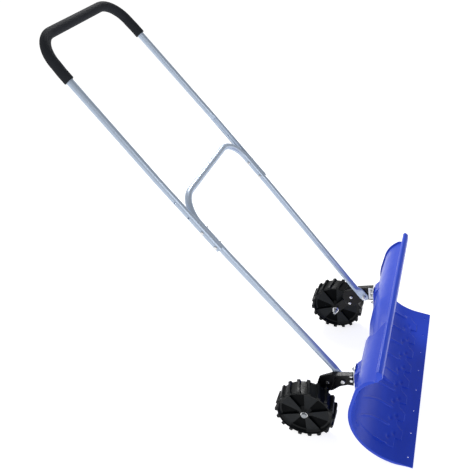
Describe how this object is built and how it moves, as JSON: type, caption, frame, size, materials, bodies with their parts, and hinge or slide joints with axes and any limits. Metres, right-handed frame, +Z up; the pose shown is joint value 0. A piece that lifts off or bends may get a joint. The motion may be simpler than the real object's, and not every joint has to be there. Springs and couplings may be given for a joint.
{
  "type": "wheeled snow pusher shovel",
  "caption": "Push-type snow shovel with a wide curled plastic blade on two wheeled side brackets and a tall tubular handle with a foam-covered cross-bar.",
  "frame": {"origin": "on the ground, under the middle of the whole object", "axes": "X across the blade (+X is the left of the person who pushes), +Y from the blade towards the handle, +Z up"},
  "size_m": [0.75, 1.0292, 1.3319],
  "materials": {
    "blade_plastic": "smooth moulded polypropylene with a soft sheen, royal blue",
    "zinc_steel": "bright zinc-plated steel sheet",
    "black_steel": "semi-gloss black powder coat",
    "wheel_plastic": "satin black moulded plastic",
    "tube_metal": "silver-grey coated tube",
    "grip_foam": "closed-cell black foam, fine grain",
    "zinc_fasteners": "bright zinc-plated bolts, nuts and washers"
  },
  "bodies": {
    "base": {"blade": "blade_plastic", "blade_plate_left": "zinc_steel", "blade_plate_right": "zinc_steel", "side_arm_left": "black_steel", "side_arm_right": "black_steel", "wheel_arm_left": "black_steel", "wheel_arm_right": "black_steel", "blade_bolts": "zinc_fasteners", "blade_washers": "zinc_fasteners", "blade_nuts": "zinc_fasteners", "plate_bolts": "zinc_fasteners", "plate_nuts": "zinc_fasteners", "wheel_arm_bolts": "zinc_fasteners", "wheel_arm_nuts": "zinc_fasteners", "pivot_bolts": "zinc_fasteners", "pivot_washers": "zinc_fasteners", "pivot_nuts": "zinc_fasteners", "axle_bolts": "zinc_fasteners", "axle_nuts": "zinc_fasteners", "axle_lock_washers": "zinc_fasteners", "axle_outer_washers": "zinc_fasteners", "axle_spacers": "zinc_fasteners"},
    "handle": {"lower_frame": "tube_metal", "upper_handle": "tube_metal", "foam_grip": "grip_foam", "handle_bolts": "zinc_fasteners", "handle_nuts": "zinc_fasteners"},
    "left_wheel": {"wheel_left": "wheel_plastic"},
    "right_wheel": {"wheel_right": "wheel_plastic"}
  },
  "joints": [
    {"name": "left_wheel_spin", "type": "hinge", "parent": "base", "child": "left_wheel", "pos_m": [0.282, -0.16813, 0.099], "axis": [1, 0, 0], "continuous": true},
    {"name": "right_wheel_spin", "type": "hinge", "parent": "base", "child": "right_wheel", "pos_m": [-0.282, -0.16813, 0.099], "axis": [1, 0, 0], "continuous": true},
    {"name": "handle_tilt", "type": "hinge", "parent": "base", "child": "handle", "pos_m": [0, -0.28413, 0.1855], "axis": [1, 0, 0], "range_deg": [-15, 15]}
  ]
}
